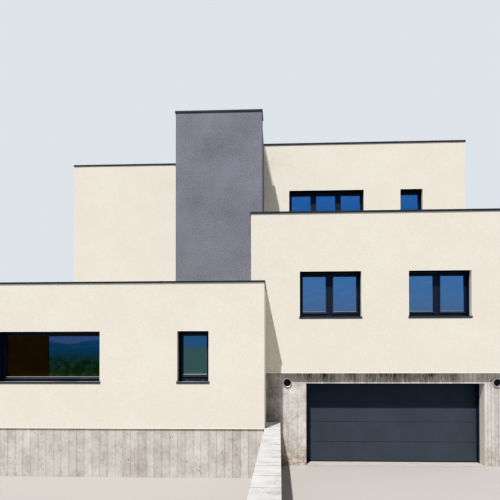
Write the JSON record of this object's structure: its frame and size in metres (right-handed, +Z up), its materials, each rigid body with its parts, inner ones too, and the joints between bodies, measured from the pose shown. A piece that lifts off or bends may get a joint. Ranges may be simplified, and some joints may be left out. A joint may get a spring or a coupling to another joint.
{
  "type": "detached house",
  "caption": "Modern flat-roofed detached house of stepped cream rendered blocks over a concrete garage base, with a grey stair tower and a low retaining wall.",
  "frame": {"origin": "middle of the plan's bounding box, on the driveway level that the garage floor, walls and plinth stand on", "axes": "+Z up; the front with the garage door faces -Y; +X is to the right seen from the driveway"},
  "size_m": [15.01, 17.585, 11.235],
  "materials": {
    "cream_render": "fine-grained mineral render, matt",
    "grey_render": "fine-grained mineral render, matt",
    "board_concrete": "fair-faced concrete, matt",
    "slab_concrete": "float-finished concrete, matt",
    "coping_stone": "sawn stone, matt",
    "coping_metal": "dark folded sheet, satin",
    "window_metal": "powder coat, satin",
    "door_metal": "powder coat, satin",
    "collar_steel": "brushed",
    "window_glass": "clear, reflective",
    "rail_glass": "clear, laminated"
  },
  "bodies": {
    "root": {"garage_pier_left": "board_concrete", "garage_pier_right": "board_concrete", "garage_lintel": "board_concrete", "base_walls": "board_concrete", "spine_wall": "cream_render", "garage_floor": "slab_concrete", "plinth_walls": "board_concrete", "left_floor": "slab_concrete", "retaining_wall": "board_concrete", "retaining_coping": "coping_stone", "pipe_collars": "collar_steel", "door_frame": "door_metal", "garage_door": "door_metal", "front_wall": "cream_render", "mid_front_wall": "cream_render", "upper_front_wall": "cream_render", "left_upper_wall": "cream_render", "left_side_wall": "cream_render", "right_side_wall": "cream_render", "rear_wall": "cream_render", "tower_walls": "grey_render", "mid_floor": "slab_concrete", "upper_floor": "slab_concrete", "left_deck": "slab_concrete", "left_second_floor": "slab_concrete", "main_roof": "slab_concrete", "tower_roof": "slab_concrete", "front_coping": "coping_metal", "mid_coping": "coping_metal", "upper_coping": "coping_metal", "left_upper_coping": "coping_metal", "tower_coping": "coping_metal", "balustrade_glass": "rail_glass", "balustrade_channel": "coping_metal", "front_window_frames": "window_metal", "mid_window_frames": "window_metal", "upper_window_frames": "window_metal", "rear_window_frames": "window_metal", "side_window_frames": "window_metal", "front_glass": "window_glass", "mid_glass": "window_glass", "upper_glass": "window_glass", "rear_glass": "window_glass", "side_glass": "window_glass", "window_sills": "window_metal"}
  },
  "joints": []
}
